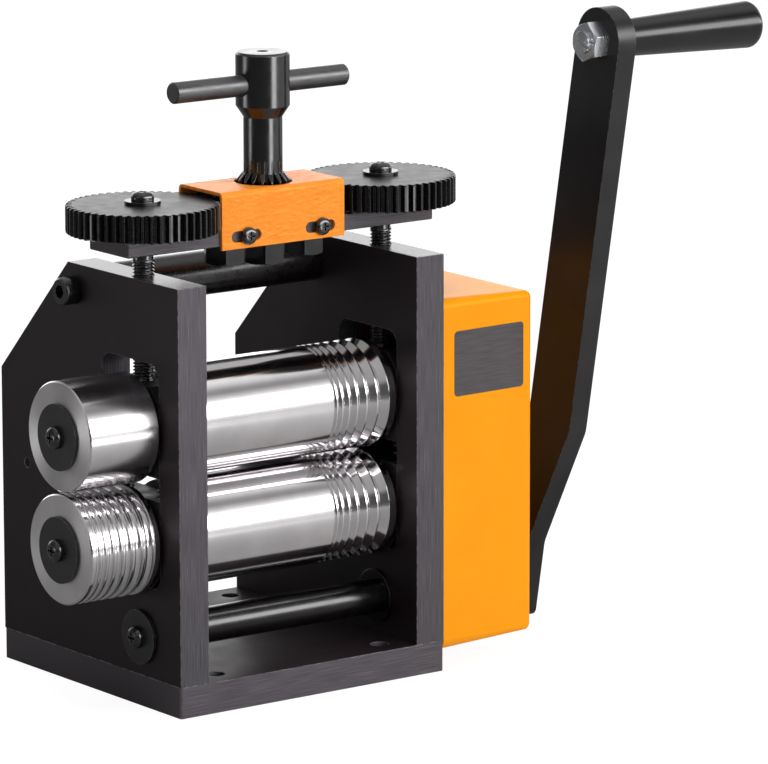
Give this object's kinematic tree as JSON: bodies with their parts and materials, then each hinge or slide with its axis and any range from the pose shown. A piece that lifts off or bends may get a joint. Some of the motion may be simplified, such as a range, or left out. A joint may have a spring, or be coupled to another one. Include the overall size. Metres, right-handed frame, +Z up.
{
  "type": "jewellers rolling mill",
  "caption": "Hand-cranked bench rolling mill with flat and grooved rollers, side rollers, gear cover, long crank and a geared T-handle for the roller gap.",
  "frame": {"origin": "centre of the base plate's underside, which is also the centre of the four bench holes", "axes": "+Z up from the bench, +X from the side rollers toward the gear cover and crank, -Y toward the user, who feeds the metal from the front"},
  "size_m": [0.3493, 0.1718, 0.297],
  "materials": {
    "black_paint": "satin black paint, worn at the edges",
    "polished_steel": "polished",
    "black_oxide": "black oxide, oiled",
    "gear_steel": "black oxide, satin",
    "bright_steel": "machined",
    "bronze": "machined bronze",
    "orange_paint": "fine orange-peel powder coat",
    "orange_plastic": "semi-gloss moulded",
    "zinc_plate": "bright zinc plated",
    "black_plastic": "gloss",
    "spring_steel": "oiled spring wire"
  },
  "bodies": {
    "frame": {"base_plate": "black_paint", "left_side_plate": "black_paint", "right_side_plate": "black_paint", "base_screws": "black_oxide", "tie_rod": "black_oxide", "tie_rod_screws": "black_oxide", "left_lower_block": "gear_steel", "right_lower_block": "gear_steel", "lower_journal_bushes": "bronze", "crank_shaft_bushes": "black_oxide", "lift_springs": "spring_steel", "gear_cover": "orange_plastic", "cover_screws": "black_oxide"},
    "lower_roller_set": {"lower_roller": "polished_steel", "lower_side_roller": "polished_steel", "lower_roller_keys": "bright_steel", "lower_end_washers": "black_oxide", "lower_end_screws": "black_oxide", "lower_roller_gear": "gear_steel", "drive_gear": "gear_steel"},
    "upper_blocks": {"left_upper_block": "gear_steel", "right_upper_block": "gear_steel", "upper_journal_bushes": "bronze"},
    "upper_roller_set": {"upper_roller": "polished_steel", "upper_side_roller": "polished_steel", "upper_roller_keys": "bright_steel", "upper_end_washers": "black_oxide", "upper_end_screws": "black_oxide", "upper_roller_gear": "gear_steel"},
    "crank": {"crank_shaft": "black_oxide", "crank_pinion": "gear_steel", "pinion_key": "bright_steel", "crank_shaft_washer": "black_oxide", "crank_shaft_screw": "black_oxide", "crank_arm": "black_paint", "crank_arm_washer": "zinc_plate", "crank_arm_bolt": "black_oxide", "grip_bolt": "zinc_plate", "grip_nut": "zinc_plate"},
    "grip": {"crank_grip": "black_plastic"},
    "bridge": {"bridge_bar": "black_paint", "gear_guard": "orange_paint", "guard_screws": "black_oxide", "idler_bolts": "black_oxide", "idler_clips": "bright_steel"},
    "handle": {"handle_pinion": "black_oxide", "tommy_bar": "black_oxide", "tommy_grub_screw": "black_oxide", "pinion_nut": "black_oxide"},
    "left_idler": {"left_idler_gear": "gear_steel"},
    "right_idler": {"right_idler_gear": "gear_steel"},
    "left_screw": {"left_adjusting_screw": "black_oxide", "left_screw_gear": "gear_steel", "left_gear_washer": "black_oxide", "left_gear_screw": "black_oxide"},
    "right_screw": {"right_adjusting_screw": "black_oxide", "right_screw_gear": "gear_steel", "right_gear_washer": "black_oxide", "right_gear_screw": "black_oxide"}
  },
  "joints": [
    {"name": "bridge_lift", "type": "slide", "parent": "frame", "child": "bridge", "axis": [0, 0, 1], "range_m": [-0.0009, 0.0058]},
    {"name": "blocks_lift", "type": "slide", "parent": "frame", "child": "upper_blocks", "axis": [0, 0, 1], "range_m": [-0.00091, 0.00581], "deforming": ["lift_springs"]},
    {"name": "handle_turn", "type": "hinge", "parent": "bridge", "child": "handle", "pos_m": [0, -0.033, 0.23], "axis": [0, 0, 1], "range_deg": [-662, 4259]},
    {"name": "left_idler_turn", "type": "hinge", "parent": "bridge", "child": "left_idler", "pos_m": [-0.02131, -0.033, 0.216], "axis": [0, 0, 1], "range_deg": [-4259, 662]},
    {"name": "right_idler_turn", "type": "hinge", "parent": "bridge", "child": "right_idler", "pos_m": [0.02131, -0.033, 0.216], "axis": [0, 0, 1], "range_deg": [-4259, 662]},
    {"name": "left_screw_turn", "type": "hinge", "parent": "bridge", "child": "left_screw", "pos_m": [-0.0645, -0.033, 0.216], "axis": [0, 0, 1], "range_deg": [-217, 1393]},
    {"name": "right_screw_turn", "type": "hinge", "parent": "bridge", "child": "right_screw", "pos_m": [0.0645, -0.033, 0.216], "axis": [0, 0, 1], "range_deg": [-217, 1393]},
    {"name": "crank_turn", "type": "hinge", "parent": "frame", "child": "crank", "pos_m": [0, -0.0395, 0.03143], "axis": [1, 0, 0], "continuous": true},
    {"name": "grip_turn", "type": "hinge", "parent": "crank", "child": "grip", "pos_m": [0.195, -0.08685, 0.28199], "axis": [1, 0, 0], "continuous": true},
    {"name": "lower_roller_turn", "type": "hinge", "parent": "frame", "child": "lower_roller_set", "pos_m": [0, -0.033, 0.0745], "axis": [1, 0, 0], "continuous": true},
    {"name": "upper_roller_turn", "type": "hinge", "parent": "upper_blocks", "child": "upper_roller_set", "pos_m": [0, -0.033, 0.1247], "axis": [1, 0, 0], "continuous": true}
  ],
  "couplings": [
    {"joint": "handle_turn", "follows": "bridge_lift", "rad_per_m": 12813},
    {"joint": "left_idler_turn", "follows": "bridge_lift", "rad_per_m": -12813},
    {"joint": "right_idler_turn", "follows": "bridge_lift", "rad_per_m": -12813},
    {"joint": "left_screw_turn", "follows": "bridge_lift", "rad_per_m": 4188.8},
    {"joint": "right_screw_turn", "follows": "bridge_lift", "rad_per_m": 4188.8},
    {"joint": "blocks_lift", "follows": "bridge_lift", "ratio": 1},
    {"joint": "lower_roller_turn", "follows": "crank_turn", "ratio": -0.38095},
    {"joint": "upper_roller_turn", "follows": "crank_turn", "ratio": 0.38095}
  ]
}
